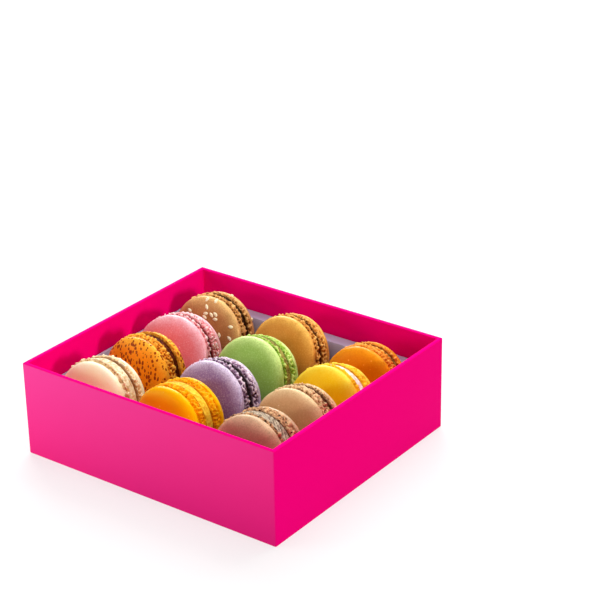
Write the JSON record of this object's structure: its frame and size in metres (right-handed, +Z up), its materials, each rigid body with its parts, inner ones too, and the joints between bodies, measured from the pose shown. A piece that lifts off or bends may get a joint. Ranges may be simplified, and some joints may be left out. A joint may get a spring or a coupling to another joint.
{
  "type": "macaron box",
  "caption": "Open card tray with a thin moulded plastic insert, holding rows of coloured filled macarons that lean back in its troughs.",
  "frame": {"origin": "middle of the tray's underside", "axes": "+X along the long front wall to the right, +Y from the front wall to the back wall, +Z up"},
  "size_m": [0.1624, 0.1474, 0.053],
  "materials": {
    "card": "smooth dyed card, satin",
    "plastic": "thin clear formed sheet, glossy",
    "vanilla_shell": "baked meringue, smooth dome and crumbly foot",
    "vanilla_filling": "soft cream filling",
    "speckled_shell": "baked meringue, smooth dome and crumbly foot",
    "speckled_filling": "soft cream filling",
    "rose_shell": "baked meringue, smooth dome and crumbly foot",
    "rose_filling": "soft cream filling",
    "sesame_shell": "baked meringue, smooth dome and crumbly foot",
    "sesame_filling": "soft cream filling",
    "apricot_shell": "baked meringue, smooth dome and crumbly foot",
    "apricot_filling": "soft cream filling",
    "lilac_shell": "baked meringue, smooth dome and crumbly foot",
    "lilac_filling": "soft cream filling",
    "pistachio_shell": "baked meringue, smooth dome and crumbly foot",
    "pistachio_filling": "soft cream filling",
    "caramel_shell": "baked meringue, smooth dome and crumbly foot",
    "caramel_filling": "soft cream filling",
    "cocoa_shell": "baked meringue, smooth dome and crumbly foot",
    "cocoa_filling": "soft cream filling",
    "coffee_shell": "baked meringue, smooth dome and crumbly foot",
    "coffee_filling": "soft cream filling",
    "lemon_shell": "baked meringue, smooth dome and crumbly foot",
    "lemon_filling": "soft cream filling",
    "tangerine_shell": "baked meringue, smooth dome and crumbly foot",
    "tangerine_filling": "soft cream filling"
  },
  "bodies": {
    "root": {"tray": "card", "insert": "plastic", "vanilla_front": "vanilla_shell", "vanilla_filling": "vanilla_filling", "vanilla_back": "vanilla_shell", "speckled_front": "speckled_shell", "speckled_filling": "speckled_filling", "speckled_back": "speckled_shell", "rose_front": "rose_shell", "rose_filling": "rose_filling", "rose_back": "rose_shell", "sesame_front": "sesame_shell", "sesame_filling": "sesame_filling", "sesame_back": "sesame_shell", "apricot_front": "apricot_shell", "apricot_filling": "apricot_filling", "apricot_back": "apricot_shell", "lilac_front": "lilac_shell", "lilac_filling": "lilac_filling", "lilac_back": "lilac_shell", "pistachio_front": "pistachio_shell", "pistachio_filling": "pistachio_filling", "pistachio_back": "pistachio_shell", "caramel_front": "caramel_shell", "caramel_filling": "caramel_filling", "caramel_back": "caramel_shell", "cocoa_front": "cocoa_shell", "cocoa_filling": "cocoa_filling", "cocoa_back": "cocoa_shell", "coffee_front": "coffee_shell", "coffee_filling": "coffee_filling", "coffee_back": "coffee_shell", "lemon_front": "lemon_shell", "lemon_filling": "lemon_filling", "lemon_back": "lemon_shell", "tangerine_front": "tangerine_shell", "tangerine_filling": "tangerine_filling", "tangerine_back": "tangerine_shell"}
  },
  "joints": []
}
